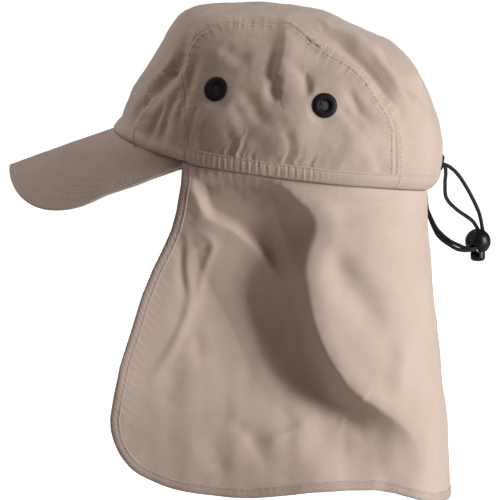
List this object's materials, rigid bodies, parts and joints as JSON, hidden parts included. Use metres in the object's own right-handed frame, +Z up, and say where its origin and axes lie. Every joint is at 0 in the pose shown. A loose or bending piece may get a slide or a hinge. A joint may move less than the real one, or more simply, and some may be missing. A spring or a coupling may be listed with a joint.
{
  "type": "legionnaire cap",
  "caption": "Sun cap with a stiff curved peak, boxy panelled crown with side vents, hanging neck flap and a draw cord with a ball lock at the back.",
  "frame": {"origin": "middle of the rim, where the cap sits on a head", "axes": "+Z up, -Y out along the peak, +X to the wearer's left"},
  "size_m": [0.1713, 0.2882, 0.295],
  "materials": {
    "crown_twill": "sand cotton twill",
    "peak_twill": "sand cotton twill over a stiff peak",
    "flap_twill": "sand cotton twill",
    "black_eyelet": "black painted metal",
    "vent_mesh": "fine black mesh",
    "black_elastic": "braided black elastic",
    "black_plastic": "smooth moulded black plastic"
  },
  "bodies": {
    "cap": {"crown_centre_panel": "crown_twill", "crown_gusset_left": "crown_twill", "crown_gusset_right": "crown_twill", "crown_side_left": "crown_twill", "crown_side_right": "crown_twill", "rim_casing": "crown_twill", "peak": "peak_twill", "neck_flap": "flap_twill", "cord_eyelet": "black_eyelet", "draw_cord": "black_elastic", "lock_ball": "black_plastic", "vent_eyelet_left_front": "black_eyelet", "vent_mesh_left_front": "vent_mesh", "vent_eyelet_left_rear": "black_eyelet", "vent_mesh_left_rear": "vent_mesh", "vent_eyelet_right_front": "black_eyelet", "vent_mesh_right_front": "vent_mesh", "vent_eyelet_right_rear": "black_eyelet", "vent_mesh_right_rear": "vent_mesh"},
    "plunger": {"lock_plunger": "black_plastic"}
  },
  "joints": [
    {"name": "lock_press", "type": "slide", "parent": "cap", "child": "plunger", "axis": [0, 0, 1], "range_m": [0, 0.0025], "stiffness_N_per_m": 300, "springref_m": -0.002}
  ]
}
